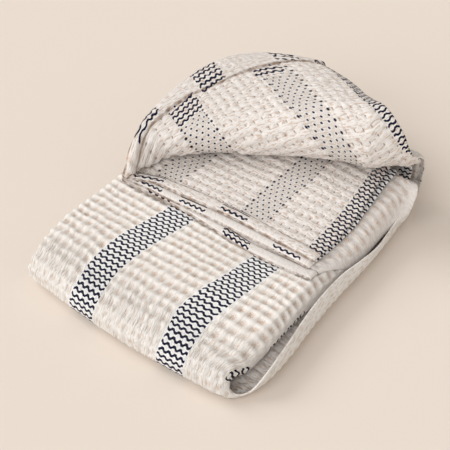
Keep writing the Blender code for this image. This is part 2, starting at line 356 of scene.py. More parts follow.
def outer_margin(y, s):
    """Width of the cloth past the place where it bends at the right."""
    margin = LIP_MARGIN - FRONT_TUCK * (1 - ramp(y, *FRONT_TUCK_RUN))
    margin = margin - REAR_TUCK * ramp(y, *REAR_TUCK_RUN)
    drawn = ramp(s, PATH.length - DRAW_START, PATH.length - DRAW_FULL)
    margin = margin * (1 - HEM_DRAW * drawn)
    row = (s - HEM_CORNER) / (1 - HEM_CORNER / HEM_ROWS)
    swell = ramp(row, *SWELL_RISE) * (1 - ramp(row, *SWELL_FALL))
    margin = margin + CORNER_SWELL * swell
    stand = ramp(s, *STAND_RISE) * (1 - ramp(s, *STAND_FALL))
    return margin + LIP_STAND * stand


def cloth_u(weave_u, s):
    """Distance across the folded sheet of a place in the weave, fitted to both selvedges."""
    y, _, gap, left, turn, _, inner, _, _ = PATH.at(s)
    quarter = gap * math.pi / 2
    near = left + gap
    at_s, *bands = np.array(WEAVE_SHIFT).T * MM
    band_centres = BAND_CENTRE + BAND_PITCH * np.arange(-2, 2)
    nodes = [INNER_EDGE, *band_centres, OUTER_EDGE]
    shifts = [near - inner - quarter - INNER_EDGE]
    shifts += [np.interp(s, at_s, band) for band in bands]
    shifts += [quarter + turn - near + outer_margin(y, s) - OUTER_EDGE]
    shift = shifts[-1]
    for low, high, at_low, at_high in zip(nodes, nodes[1:], shifts, shifts[1:]):
        share = (weave_u - low) / (high - low)
        within = (weave_u >= low) & (weave_u <= high)
        shift = np.where(within, at_low + (at_high - at_low) * share, shift)
    return weave_u + shift


def cloth_s(weave_s):
    """Distance along the folded sheet of a place in the weave."""
    return np.interp(weave_s / MM, WEAVE_PLACES, SHEET_PLACES) * MM


NOISE_GRID = 192
NOISE_START = (64, 32)


def soft_noise(u, s, size, seed):
    """Smooth seeded noise from -1 to 1 over the cloth, with humps about size wide."""
    grid = np.random.default_rng(seed).uniform(-1, 1, (NOISE_GRID, NOISE_GRID))
    a, b = u / size + NOISE_START[0], s / size + NOISE_START[1]
    i, j = np.floor(a).astype(int), np.floor(b).astype(int)
    p, q = ramp(a - i, 0, 1), ramp(b - j, 0, 1)
    i, j = i % (NOISE_GRID - 2), j % (NOISE_GRID - 2)
    low = grid[i, j] * (1 - p) + grid[i + 1, j] * p
    high = grid[i, j + 1] * (1 - p) + grid[i + 1, j + 1] * p
    return low * (1 - q) + high * q


# Relief of the waffle weave: pockets sunk between ridges on the face; on the reverse, low
# ridges across the cloth with a small pit where the face's ridges cross.  Sizes of a pit and
# of the cells' lean are shares of a cell.  The cells lean and differ in depth in patches, as
# soft yarn lies unevenly.
RIDGE_RISE = 1.7 * MM
POCKET_DEPTH = 3.8 * MM
BACK_RIDGE = 1.3 * MM
PIT_DEPTH = 1.7 * MM
PIT_RADIUS = 0.32
LEAN_ACROSS = 0.15
LEAN_ALONG = 0.14
UNEVEN = 0.4

# The profile of a cell, by the share of the way in from its sides: where its valley and its
# pocket slope down, how deep the valley is between pockets, where ridges cross, and how high
# they are away from a crossing.
VALLEY_SLOPE = (0.02, 0.8)
POCKET_SLOPE = (0.05, 0.75)
VALLEY_DEPTH = 0.22
CROSSING = (0.45, 1)
RIDGE_BETWEEN = 0.3


def bare(u):
    """One where the weave is flat, in a navy band or a border, and nought in the waffle."""
    from_band = (u - BAND_CENTRE + BAND_PITCH / 2) % BAND_PITCH - BAND_PITCH / 2
    flat = 1 - ramp(np.abs(from_band), BAND_HALF - 0.5 * MM, BAND_HALF + 2 * MM)
    flat = np.maximum(flat, 1 - ramp(u - INNER_EDGE, BORDER_WIDTH, BORDER_WIDTH + 2 * MM))
    return np.maximum(flat, ramp(u, OUTER_EDGE - ROPE_WIDTH - 2 * MM, OUTER_EDGE - ROPE_WIDTH))


def waffle_face(u, s):
    """Height of the face over its even thickness, and how deep in a pocket it is."""
    lean_u = LEAN_ACROSS * soft_noise(u, s, 17 * MM, seed=7)
    lean_s = LEAN_ALONG * soft_noise(u, s, 15 * MM, seed=8)
    across = np.abs((u / CELL_ACROSS + lean_u) % 1 - 0.5) * 2
    along = np.abs((s / CELL_ALONG + lean_s) % 1 - 0.5) * 2
    pocket = ramp(1 - across, *POCKET_SLOPE)
    depth = ramp(1 - along, *VALLEY_SLOPE) * (VALLEY_DEPTH + (1 - VALLEY_DEPTH) * pocket)
    uneven = 1 + UNEVEN * soft_noise(u, s, 9 * MM, seed=3)
    crossing = ramp(np.minimum(across, along), *CROSSING)
    ridge = RIDGE_RISE * (RIDGE_BETWEEN + (1 - RIDGE_BETWEEN) * crossing)
    height = ridge - POCKET_DEPTH * depth * uneven
    woven = 1 - bare(u)
    return height * woven, depth * woven


def waffle_back(u, s):
    """Height of the reverse over its even thickness."""
    across = (u / CELL_ACROSS + 0.5) % 1 - 0.5
    along = (s / CELL_ALONG + 0.5) % 1 - 0.5
    ridge = 0.5 - 0.5 * np.cos(2 * math.pi * along)
    rib = 0.5 - 0.5 * np.cos(2 * math.pi * across)
    pit = 1 - ramp(np.hypot(across, along * 0.8), 0, PIT_RADIUS)
    uneven = 1 + UNEVEN * soft_noise(u, s, 11 * MM, seed=5)
    height = BACK_RIDGE * (ridge * 1.2 + rib * 0.5) * uneven - PIT_DEPTH * pit
    return height * (1 - bare(u))


def places(cell, *runs):
    """Places over one run after another, each run given as first, last and number to a cell."""
    found = []
    for first, last, per_cell in runs:
        steps = int(round((last - first) / cell * per_cell))
        found.append(np.linspace(first, last, steps + 1)[:-1])
    return np.append(np.concatenate(found), last)


def open_weave(weave_u, weave_s):
    """Place on the folded sheet of the open weave, all of which is there."""
    s = cloth_s(weave_s)
    return cloth_u(weave_u, s), s, np.full(weave_u.shape, True)


def between_hems(weave_u, weave_s):
    """Place on the folded sheet, cut off along the top and the lower hem."""
    s = cloth_s(weave_s)
    u = cloth_u(weave_u, s)
    top, end = top_hem(u), PATH.length - under_hem(u)
    half = np.gradient(s, axis=0) / 2
    kept = (s > top - half) & (s <= end + half)
    s = np.where(np.abs(s - top) <= half, top, s)
    s = np.where(np.abs(s - end) <= half, end, s)
    return u, s, kept


# How far the weave wanders across and along, and how near to a hem that dies out; how near to
# a hem a point counts as on it; how thin the cloth is at its hems and selvedges, how far it
# rounds out there, and how little its lowest yarn is clear of the floor.
WANDER_ACROSS = 0.9 * MM
WANDER_ALONG = 1.1 * MM
WANDER_FADE = 12 * MM
AT_EDGE = 0.01 * MM
EDGE_THIN = 0.62
EDGE_ROUND = 1.15 * MM
FLOOR_CLEAR = 0.02 * MM


def cloth_sheet(name, columns, rows, place, dress, finishes):
    """A closed stretch of the cloth over a grid of weave places.

    place gives each one's u and s on the folded sheet and whether it is part of the stretch;
    dress gives what is added to the face's and the reverse's height, and what the finishes
    read.
    """
    weave_u, weave_s = np.meshgrid(columns, rows)
    u, s, kept = place(weave_u, weave_s)
    from_top, from_end = s - top_hem(u), PATH.length - under_hem(u) - s
    inside = ramp(np.minimum(from_top, from_end), 0, WANDER_FADE)
    moved_u = u + WANDER_ACROSS * soft_noise(u, s, 26 * MM, seed=1) * inside
    moved_s = s + WANDER_ALONG * soft_noise(u, s, 31 * MM, seed=2) * inside
    middle = folded_point(moved_u, moved_s)
    normal = face_normal(moved_u, moved_s)
    front, back, values = dress(weave_u, weave_s, u, from_top, from_end)

    # The grid's squares, and a triangle where a hem cuts off one corner of a square.
    index = np.full(kept.shape, -1)
    index[kept] = np.arange(kept.sum())
    corners = np.stack([index[:-1, :-1], index[:-1, 1:], index[1:, 1:], index[1:, :-1]], -1)
    quads = corners[(corners >= 0).all(-1)]
    triangles = corners[(corners >= 0).sum(-1) == 3]
    triangles = triangles[triangles >= 0].reshape(-1, 3)

    # The rim is made of the edges that only one face has, and outward points off the cloth.
    starts = np.concatenate([quads.ravel(), triangles.ravel()])
    ends = np.concatenate([np.roll(quads, -1, 1).ravel(), np.roll(triangles, -1, 1).ravel()])
    count = int(kept.sum())
    rim = ~np.isin(starts * count + ends, ends * count + starts)
    rim_start, rim_end = starts[rim], ends[rim]
    middle, normal = middle[kept], normal[kept]
    run = np.zeros((count, 3))
    heading = middle[rim_end] - middle[rim_start]
    np.add.at(run, rim_start, heading)
    np.add.at(run, rim_end, heading)
    outward = np.cross(run, normal)
    outward /= np.maximum(np.linalg.norm(outward, axis=-1, keepdims=True), 1e-9)

    # A hem or a selvedge is thinner and round.  Where two stretches meet, the rim is square.
    real_edge = (columns[0] == INNER_EDGE) & (weave_u == columns[0])
    real_edge |= (columns[-1] == OUTER_EDGE) & (weave_u == columns[-1])
    real_edge |= (np.abs(from_top) < AT_EDGE) | (np.abs(from_end) < AT_EDGE)
    at_rim = np.zeros(count, bool)
    at_rim[rim_start] = True
    real_edge = real_edge[kept] & at_rim
    thin = np.where(real_edge, EDGE_THIN, 1)[:, None]
    top = middle + normal * (SHEET / 2 + front[kept])[:, None] * thin
    low = middle - normal * (SHEET / 2 + back[kept])[:, None] * thin
    edge = (top + low) / 2 + outward * np.where(real_edge, EDGE_ROUND, 0)[:, None]

    # The face, the reverse and the ring of points round the rim that joins them.
    around = np.unique(rim_start)
    ring = np.full(count, -1)
    ring[around] = 2 * count + np.arange(len(around))
    points = np.vstack([top, low, edge[around]])
    points[:, 2] = np.maximum(points[:, 2], FLOOR_CLEAR)
    face_side = quads.tolist() + triangles.tolist()
    reverse = (count + quads[:, ::-1]).tolist() + (count + triangles[:, ::-1]).tolist()
    upper_rim = np.stack([rim_end, rim_start, ring[rim_start], ring[rim_end]], -1).tolist()
    lower_rim = [ring[rim_end], ring[rim_start], count + rim_start, count + rim_end]
    lower_rim = np.stack(lower_rim, -1).tolist()
    parts = (face_side, reverse, upper_rim, lower_rim)
    finish_of = np.repeat((0, 1, 0, 1), [len(part) for part in parts])
    mesh = bpy.data.meshes.new(name)
    mesh.from_pydata(points.tolist(), [], face_side + reverse + upper_rim + lower_rim)
    mesh.polygons.foreach_set("material_index", finish_of)
    mesh.shade_smooth()

    # What the finishes read: each point's place in the weave and its dressing.
    source = np.concatenate([np.arange(count), np.arange(count), around])
    weave = np.stack([weave_u[kept], weave_s[kept]], -1)[source]
    loops = np.empty(len(mesh.loops), np.int32)
    mesh.loops.foreach_get("vertex_index", loops)
    mesh.uv_layers.new(name="weave").data.foreach_set("uv", weave[loops].ravel())
    for label in READINGS:
        layer = mesh.attributes.new(label, "FLOAT", "POINT")
        layer.data.foreach_set("value", np.broadcast_to(values[label], kept.shape)[kept][source])
    for finish in finishes:
        mesh.materials.append(finish)
    piece = bpy.data.objects.new(name, mesh)
    bpy.context.collection.objects.link(piece)
    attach(piece, "root")
    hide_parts("blanket")
    return piece


# What the finishes read at a place in the weave, in millimetres or as a share from 0 to 1:
# row      how far along from the middle of a hem's rows of waves
# block    over nought inside a navy block of a hem
# span     over nought beside a navy block, from the hem's edge in to its seam
# line     how far from the navy line beside the seam
# seam     how far from the seam of a turned hem
# rim      how far from the hem's edge
# dip      how deep in a pocket, and so how much shade is painted there
# plain    one where the cloth is turned over and shows its plain side
# rope     how far in the chain of the outer border shows
# holes    one where the pits of the reverse get painted shade
# pulled   how far the strands are pulled apart
READINGS = ("row", "block", "span", "line", "seam", "rim", "dip", "plain", "rope", "holes", "pulled")


def linear(code):
    """A linear colour from its sRGB hex code."""
    parts = [int(code[i : i + 2], 16) / 255 for i in (1, 3, 5)]
    return [c / 12.92 if c <= 0.04045 else ((c + 0.055) / 1.055) ** 2.4 for c in parts] + [1]


def add(tree, kind, inputs=(), out=0, **settings):
    """A node with its settings.

    Its inputs are values or links, in the order of its sockets or by socket; out is the
    output that is given back.
    """
    made = tree.nodes.new("ShaderNode" + kind)
    for name, value in settings.items():
        setattr(made, name, value)
    by_socket = inputs if isinstance(inputs, dict) else dict(enumerate(inputs))
    for socket, source in by_socket.items():
        if isinstance(source, bpy.types.NodeSocket):
            tree.links.new(source, made.inputs[socket])
        else:
            made.inputs[socket].default_value = source
    return made.outputs[out]


# Undyed cotton, woven soft and thick and washed once.  That gives a warm cream, matt, with
# navy yarn floated over the face in waves and tied down on the reverse as dots.  Warm brown
# shade is painted where light is lost in a pocket, between strands, in a pit or under a seam.
COTTON = "#FEFBF7"
COTTON_REVERSE = "#F7F3F0"
PAINTED_SHADE = "#B88A5C"
GREY_GROUND = "#D3C9C1"
WHITE_GROUND = "#FFFFFF"
SEAM_SHADE = "#7C5A3A"
NAVY = "#060A30"
SURFACE = {
    "Roughness": 0.93,
    "Specular IOR Level": 0.15,
    "Sheen Weight": 0.06,
    "Sheen Roughness": 0.6,
}

# The navy waves in millimetres: their length, the pitch of their rows, how high they swing and
# half the yarn's thickness, which is more where a wave is steep.  Each row lies WAVE_SHIFT_ROW
# of a wave on from the last.  WAVE_SQUARE flattens the tops.  The chain of the outer border is
# the same waves in rows a little wider apart, and where it doesn't show it is ROPE_CLEAR off.
WAVE_PERIOD = 9.2
WAVE_PITCH = CELL_ALONG / MM / 2
WAVE_HEIGHT = 1.25
WAVE_THICK = 1.3
WAVE_STEEP = 0.35
WAVE_SQUARE = 1.3
WAVE_SHIFT_ROW = 0.59
CHAIN_ROWS = 0.95
ROPE_CLEAR = 0.1

# Radii in millimetres of the tied dots, the clean ring round each, the dots along a band's
# edge, and the dark pits of the reverse, which are longer than wide.
DOT_RADIUS = 1.5
RING_RADIUS = 2.1
EDGE_DOT = 1.9
PIT_DOT = 1.0
PIT_LONG = 1.9

# Half the navy line's width, and where the shade of a seam and of a hem's edge is gone and
# full, all in millimetres.  A seam's stitches are as wide as its shade is over STITCH_SHADE.
LINE_HALF = 0.8
SEAM_FADE = (1.2, 0.4)
RIM_FADE = (1.6, 0.5)
STITCH_SHADE = 0.6

# The white cord beside a band: how far off its middle lies, and where it is gone and full.
BAND_CORD_OFF = 1
BAND_CORD_FADE = (1.0, 0.5)

# Strands to a millimetre across and along: they are about 1.6 by 10 mm on the face and 2 by
# 8 mm on the reverse, drawn thicker than the real ones of 0.5 mm so that they show.  They
# mostly lie along on the face and across on the reverse.  The fuzz is about 1 mm and the soft
# patches about 9 mm.
FACE_STRANDS = (0.62, 0.1)
REVERSE_STRANDS = (0.13, 0.5)
FUZZ = 0.9
PATCHES = 0.11
YARN_DETAIL = 3.0
YARN_BUMP = 2.0 * MM

# Where a noise, or the depth of a pocket, counts for nothing and where it counts in full.
PATCHY = (0.38, 0.62)
DIP_SHADE = (0.25, 1.15)
POCKET_FUZZ = (0.66, 0.4)
STRAND_GAPS = (0.5, 0.38)
MOTTLE = (0.6, 0.42)
PITS_SHOWN = (0.3, 0.55)

# How strongly the painted shade shows between strands, at least and where they are pulled apart,
# on the face and on the reverse; and the strength of the mottle, the pits' painted shade and the
# seams' shadow.
GAP_SHADE = 0.2
FACE_APART = 0.22
REVERSE_APART = 0.5
MOTTLE_SHARE = 0.75
PIT_SHARE = 0.8
SEAM_SHADOW = 0.85

# What a soft patch adds to the pockets' painted shade and to the shadow of a seam and of a
# hem's edge, and what is there without it; and the same of the pull for the strands' bump.
POCKET_PATCHY = (0.5, 0.5)
SEAM_PATCHY = (0.6, 0.4)
RIM_PATCHY = (0.7, 0.3)
STRANDS_STAND = (1.4, 0.8)


def cotton(name, shows_face):
    """The cloth's finish on one side."""
    material = bpy.data.materials.new(name)
    material.use_nodes = True
    tree = material.node_tree
    shader = tree.nodes["Principled BSDF"]
    node = partial(add, tree)

    def product(*values):
        """The values multiplied; of shares, where every one of them holds."""
        total = values[0]
        for value in values[1:]:
            total = node("Math", (total, value), operation="MULTIPLY")
        return total

    def highest(*values):
        """The highest of the values; of shares, where any one of them holds."""
        best = values[0]
        for value in values[1:]:
            best = node("Math", (best, value), operation="MAXIMUM")
        return best

    def over(ground, colour, *shares):
        """The ground with a colour laid over it where all the shares hold."""
        inputs = {0: product(*shares), 6: ground, 7: colour}
        return node("Mix", inputs, out=2, data_type="RGBA")

    def within(value, reach):
        """One where the value is nearer to nought than reach."""
        size = node("Math", (value,), operation="ABSOLUTE")
        return node("Math", (size, reach), operation="LESS_THAN")

    def cell_off(place, size):
        """Distance from the middle of the nearest cell of that size."""
        return node("Math", (place, size / 2, -size / 2), operation="WRAP")

    weave = node("UVMap", uv_map="weave")
    across = product(node("SeparateXYZ", (weave,), out="X"), 1 / MM)
    along = product(node("SeparateXYZ", (weave,), out="Y"), 1 / MM)
    read = {label: node("Attribute", out="Fac", attribute_name=label) for label in READINGS}

    def row_of(place_along):
        """The nearest row of waves, and how far off it the place lies."""
        share = node("Math", (place_along, WAVE_PITCH), operation="DIVIDE")
        row = node("Math", (share,), operation="ROUND")
        off = node("Math", (share, row), operation="SUBTRACT")
        return row, product(off, WAVE_PITCH)

    def waves(place_along):
        """Navy yarn lying in waves across a band, each row over half a wave on from the last."""
        row, off = row_of(place_along)
        turn = product(across, 2 * math.pi / WAVE_PERIOD)
        row_turn = product(row, 2 * math.pi * WAVE_SHIFT_ROW)
        turn = node("Math", (turn, row_turn), operation="ADD")
        swing = product(node("Math", (turn,), operation="SINE"), WAVE_SQUARE)
        swing = product(node("Math", (swing,), operation="TANH"), WAVE_HEIGHT)
        steep = node("Math", (turn,), operation="COSINE")
        steep = product(steep, steep)
        thick = node("Math", (steep, WAVE_STEEP, WAVE_THICK), operation="MULTIPLY_ADD")
        return within(node("Math", (off, swing), operation="SUBTRACT"), thick)

    def dot(off_across, off_along, radius, long=1.0):
        """A soft dot of a radius in millimetres, drawn out along the cloth by long."""
        drawn = product(off_along, 1 / long)
        place = node("CombineXYZ", (off_across, drawn))
        distance = node("VectorMath", (place,), out="Value", operation="LENGTH")
        return node("MapRange", (distance, radius * 1.25, radius * 0.75))

    # Where each pattern lies.
    woven = node("Math", (read["plain"], 0.5), operation="LESS_THAN")
    from_band = node("Math", (across, BAND_CENTRE / MM), operation="SUBTRACT")
    from_band = node("Math", (cell_off(from_band, BAND_PITCH / MM),), operation="ABSOLUTE")
    in_band = node("Math", (from_band, BAND_HALF / MM), operation="LESS_THAN")
    border = node("Math", (across, (INNER_EDGE + BORDER_WIDTH) / MM), operation="LESS_THAN")
    border = product(border, woven)
    rope = node("Math", (across, read["rope"]), operation="ADD")
    rope = node("Math", (rope, OUTER_EDGE / MM + ROPE_CLEAR), operation="GREATER_THAN")
    rope = product(rope, woven)
    in_block = node("Math", (read["block"], 0.0), operation="GREATER_THAN")
    on_span = node("Math", (read["span"], 0.0), operation="GREATER_THAN")
    from_seam = node("Math", (read["seam"],), operation="ABSOLUTE")
    seam = node("MapRange", (from_seam, *SEAM_FADE))
    rim = node("MapRange", (read["rim"], *RIM_FADE))

    # The yarn.
    lie_across, lie_along = FACE_STRANDS if shows_face else REVERSE_STRANDS
    strand_at = node("CombineXYZ", (product(across, lie_across), product(along, lie_along)))
    cloth_at = node("CombineXYZ", (across, along))
    strand, fuzz, soft = (
        node("TexNoise", {"Vector": at, "Scale": scale, "Detail": YARN_DETAIL})
        for at, scale in ((strand_at, 1.0), (cloth_at, FUZZ), (cloth_at, PATCHES))
    )

    # Shade is painted into a pocket, darker the deeper it is, more so in patches.
    patches = node("MapRange", (soft, *PATCHY))
    deep = product(
        node("MapRange", (read["dip"], *DIP_SHADE)),
        node("MapRange", (fuzz, *POCKET_FUZZ)),
        node("Math", (patches, *POCKET_PATCHY), operation="MULTIPLY_ADD"),
    )
    ground = linear(COTTON_REVERSE)
    if shows_face:
        ground = over(linear(COTTON), ground, read["plain"])
    ground = over(ground, linear(PAINTED_SHADE), deep)

    # Painted shade shows between the strands, more where they are pulled apart.
    apart = FACE_APART if shows_face else REVERSE_APART
    between = node("Math", (read["pulled"], apart, GAP_SHADE), operation="MULTIPLY_ADD")
    between = product(node("MapRange", (strand, *STRAND_GAPS)), between)
    ground = over(ground, linear(PAINTED_SHADE), between)

    # Navy waves in the hems' blocks, the line and the seam beside them, and the border's chain.
    stitches = node("Math", (seam, STITCH_SHADE), operation="GREATER_THAN")
    navy = highest(
        product(in_block, waves(read["row"])),
        product(on_span, highest(within(read["line"], LINE_HALF), stitches)),
        product(waves(product(along, CHAIN_ROWS)), rope),
    )

    white = linear(WHITE_GROUND)
    if shows_face:
        # Each band of waves has a white ground and a white cord along either side.
        cord_at = BAND_HALF / MM + BAND_CORD_OFF
        from_cord = node("Math", (from_band, cord_at), operation="SUBTRACT")
        from_cord = node("Math", (from_cord,), operation="ABSOLUTE")
        ground = over(ground, white, node("MapRange", (from_cord, *BAND_CORD_FADE)), woven)
        banded = highest(product(in_band, woven), border)
        ground = over(ground, white, banded)
        navy = highest(navy, product(waves(along), banded))
    else:
        # The bands' yarn is tied down as dots, each in a clean ring on a mottled grey ground.
        speckled = product(in_band, woven)
        row, off = row_of(along)
        place = node("Math", (across, product(row, WAVE_PERIOD / 2)), operation="ADD")
        place = cell_off(place, WAVE_PERIOD)
        mottled = node("MapRange", (fuzz, *MOTTLE))
        ground = over(ground, linear(GREY_GROUND), speckled, mottled, MOTTLE_SHARE)
        ground = over(ground, white, dot(place, off, RING_RADIUS), speckled)

        # A larger dot lies at each cell along a band's edge, and the border keeps its waves.
        from_edge = node("Math", (from_band, BAND_HALF / MM), operation="SUBTRACT")
        cell_along = cell_off(along, CELL_ALONG / MM)
        navy = highest(
            navy,
            product(waves(along), border),
            product(dot(place, off, DOT_RADIUS), speckled),
            product(dot(from_edge, cell_along, EDGE_DOT), woven),
        )

        # The pits of the waffle get painted shade in the seams' shadow brown, some more than others.
        pit = dot(cell_off(across, CELL_ACROSS / MM), cell_along, PIT_DOT, PIT_LONG)
        waffle = product(node("Math", (1.0, in_band), operation="SUBTRACT"), woven)
        shown = product(read["holes"], node("MapRange", (fuzz, *PITS_SHOWN)), PIT_SHARE)
        ground = over(ground, linear(SEAM_SHADE), pit, waffle, shown)

    # Seams and the hems' edges catch a thin brown shadow that comes and goes.
    at_seam = node("Math", (patches, *SEAM_PATCHY), operation="MULTIPLY_ADD")
    between_patches = node("MapRange", (soft, *reversed(PATCHY)))
    at_rim = node("Math", (between_patches, *RIM_PATCHY), operation="MULTIPLY_ADD")
    shadow = highest(product(seam, at_seam), product(rim, at_rim))
    ground = over(ground, linear(SEAM_SHADE), shadow, SEAM_SHADOW)
    tree.links.new(over(ground, linear(NAVY), navy), shader.inputs["Base Color"])

    # Only yarn is bump.  It stands out more where the strands are pulled apart.
    stands = node("Math", (read["pulled"], *STRANDS_STAND), operation="MULTIPLY_ADD")
    height = node("Math", (product(strand, stands), fuzz), operation="ADD")
    bump = node("Bump", {"Height": height, "Strength": 1.0, "Distance": YARN_BUMP})
    tree.links.new(bump, shader.inputs["Normal"])
    for socket, value in SURFACE.items():
        shader.inputs[socket].default_value = value
    return material


COTTON_FACE = cotton("waffle_cotton_face", True)
COTTON_BACK = cotton("waffle_cotton_reverse", False)

# Along the sheet, in millimetres: where the cloth comes to be pulled tight round the front
# roll, and where it lies loose again on the base.  Ahead of that the face's relief is pressed
# to PRESSED of its height.
PULLED_FROM = (680, 735)
LOOSE_FROM = (765, 850)
PRESSED = 0.65
NOTHING_SEWN = {"row": 0.0, "block": -1.0, "span": -1.0, "line": 9.0, "seam": 9.0, "rim": 9.0}


def plain_cloth(weave_u, weave_s, u, from_top, from_end):
    """The open weave, with nothing sewn."""
    front, pocket = waffle_face(weave_u, weave_s)
    back = waffle_back(weave_u, weave_s)
    s = cloth_s(weave_s) / MM
    loose = ramp(s, *LOOSE_FROM)
    front = front * (PRESSED + (1 - PRESSED) * loose)
    woven = {
        "dip": pocket * (0.5 + 0.5 * loose),
        "plain": 0.0,
        "rope": 0.0,
        "holes": 0.0,
        "pulled": (1 - loose) * (0.5 + 0.5 * ramp(s, *PULLED_FROM)),
    }
    return front, back, {**NOTHING_SEWN, **woven}


# It is drawn finer at its left fold and at its right edge, which show, than in between.
FLOOR_START = 22 * CELL_ALONG
FRONT_START = 52 * CELL_ALONG
floor_layer = cloth_sheet(
    "floor_layer",
    places(
        CELL_ACROSS,
        (INNER_EDGE, -2 * CELL_ACROSS, 2),
        (-2 * CELL_ACROSS, 2 * CELL_ACROSS, 4),
        (2 * CELL_ACROSS, 20 * CELL_ACROSS, 2),
        (20 * CELL_ACROSS, OUTER_EDGE, 4),
    ),
    places(CELL_ALONG, (FLOOR_START, FRONT_START, 4)),
    open_weave,
    plain_cloth,
    (COTTON_FACE, COTTON_BACK),
)

# ---------------------------------------------------------------------------------------
# The front roll and the base.  The same doubled cotton rolls up at the front and runs back to
# the rear as the base, face up, with its navy wave bands uppermost.  It lies on the floor
# layer, of which it is the next stretch.

# Where the chain of the outer border shows at the mouth of the folds: from and to along the
# sheet, and how far in, in millimetres.
ROPE_SHOWS = ((764, 806, 9), (838, 918, 5), (1086, 1120, 4))


def base_cloth(weave_u, weave_s, u, from_top, from_end):
    """The open weave, whose outer border shows at the mouth of the folds."""
    front, back, values = plain_cloth(weave_u, weave_s, u, from_top, from_end)
    s = cloth_s(weave_s) / MM
    shows = [width * ((s > low) & (s < high)) for low, high, width in ROPE_SHOWS]
    return front, back, {**values, "rope": np.max(shows, axis=0)}


# Its outer half is the top of the base, and is drawn finest.
BASE_FINE_END = 72 * CELL_ALONG
BASE_END = 86 * CELL_ALONG
front_base = cloth_sheet(
    "front_and_base",
    places(
        CELL_ACROSS,
        (INNER_EDGE, -2 * CELL_ACROSS, 2),
        (-2 * CELL_ACROSS, 0, 4),
        (0, OUTER_EDGE, 6),
    ),
    places(CELL_ALONG, (FRONT_START, BASE_FINE_END, 6), (BASE_FINE_END, BASE_END, 4)),
    open_weave,
    base_cloth,
    (COTTON_FACE, COTTON_BACK),
)

# ---------------------------------------------------------------------------------------
# The pass inside.  The doubled cotton turns at the rear and comes forward to its lower hem,
# turned and sewn down, whose two edges show as narrow rounded bands under the page.

# From HEM_FINE on, where the hem comes, the rows are drawn finest.
HEM_FINE = 102 * CELL_ALONG
HEM_END = 107 * CELL_ALONG
HEM_WIDTH = 15.0 * MM
SEAM_STEP = 2.5 * MM
HEM_PUFF = 2.2 * MM

# A hem's edge is rounded off by this much, over this far in.
HEM_ROUND = 0.9 * MM
HEM_ROUND_RUN = 4 * MM

# Where the navy bands show on the turned hems, as distances across in millimetres.
INNER_HEM_BLOCKS = ((-297, -254), (-145, -102), (-71, -23))
OUTER_HEM_BLOCKS = ((44, 87), (178, 222))

# On the inner and the outer half of the lower hem, from its edge in millimetres: the middle
# of the rows of waves, how far in they reach, and the navy line beside them.  The waves begin
# at MARKS_FROM.
INNER_HEM_MARKS = (5.0, 8.5, 11.5)
OUTER_HEM_MARKS = (3.2, 12.5, 14.3)
MARKS_FROM = 0.3


def in_blocks(u, blocks):
    """How far inside one of the blocks each place lies, in millimetres."""
    inside = [np.minimum(u / MM - low, high - u / MM) for low, high in blocks]
    return np.max(inside, axis=0)


def lower_hem(weave_u, weave_s, u, from_top, from_end):
    """The weave, with its lower hem turned: plain, its edge rounded off and its fold puffed."""
    front, back, values = plain_cloth(weave_u, weave_s, u, from_top, from_end)
    hem = 1 - ramp(from_end, HEM_WIDTH, HEM_WIDTH + SEAM_STEP)
    span = in_blocks(u, INNER_HEM_BLOCKS + OUTER_HEM_BLOCKS)
    depth = from_end / MM
    marks = zip(INNER_HEM_MARKS, OUTER_HEM_MARKS)
    rows, reach, line = (np.where(u < 0, inner, outer) for inner, outer in marks)
    round_edge = HEM_ROUND * (1 - ramp(from_end, 0, HEM_ROUND_RUN))
    puff = HEM_PUFF * np.sqrt(np.sin(math.pi * np.clip(from_end / HEM_WIDTH, 0, 1)))
    front = front * (1 - hem) - round_edge + puff
    back = back * (1 - hem) - round_edge + puff
    sewn = {
        "dip": values["dip"] * (1 - hem),
        "row": depth - rows,
        "block": np.minimum(span, np.minimum(reach - depth, depth - MARKS_FROM)),
        "span": np.minimum(span, HEM_WIDTH / MM - depth),
        "line": depth - line,
        "seam": (from_end - HEM_WIDTH) / MM,
        "rim": depth,
        "plain": hem,
    }
    return front, back, {**values, **sewn}


inside_pass = cloth_sheet(
    "inside_pass",
    places(CELL_ACROSS, (INNER_EDGE, OUTER_EDGE, 4)),
    places(CELL_ALONG, (BASE_END, HEM_FINE, 4), (HEM_FINE, HEM_END, 8)),
    between_hems,
    lower_hem,
    (COTTON_FACE, COTTON_BACK),
)

# ---------------------------------------------------------------------------------------
# The top fold, the last stretch of the cotton.  Its inner half lies open as a page, reverse
# side up, and the corner of its outer half is turned back over it, so that the page, the
# turned corner and both hems, turned and sewn down, show.

FLAP_START = -7 * CELL_ALONG

# The page's hem, in millimetres: its blocks of navy bands, its rows of waves, how far in they
# reach, and its rise and puff.
PAGE_HEM_BLOCKS = ((-196, -155), (-59, -11))
PAGE_ROWS = 5
PAGE_REACH = 8.3
PAGE_SPAN = 17
PAGE_LINE = 11.5
PAGE_RISE = 0.6 * MM
PAGE_PUFF = 2.0 * MM

# The turned corner's hem, in millimetres: the distance of its ledge from its edge by the place
# across; the blocks of navy bands outside and inside the ledge, each as its sides across and
# the depths it lies between; the height of its crown; and where its rows of waves start.
LEDGE_PLACES = (0, 68, 89, 113, 127, 159, 187, 207, 223, 261, 330, 360)
LEDGE_DEPTHS = (19, 24, 27, 33, 39, 48, 49, 47, 46, 39, 20, 4)
OUTER_BLOCKS = ((129, 167, 2, 45), (251, 296, 1, 33), (28, 64, 1, 19))
INNER_BLOCKS = ((72, 118, 32, 66), (205, 251, 48, 70))
HEM_CROWN = 5.2 * MM
CORNER_ROWS = 4

# On that hem the rows of waves lie wider apart and the shadow of the ledge is broader than
# elsewhere: millimetres on the cloth are counted as these shares.
ROW_SHARE = 0.68
SEAM_SHARE = 0.38

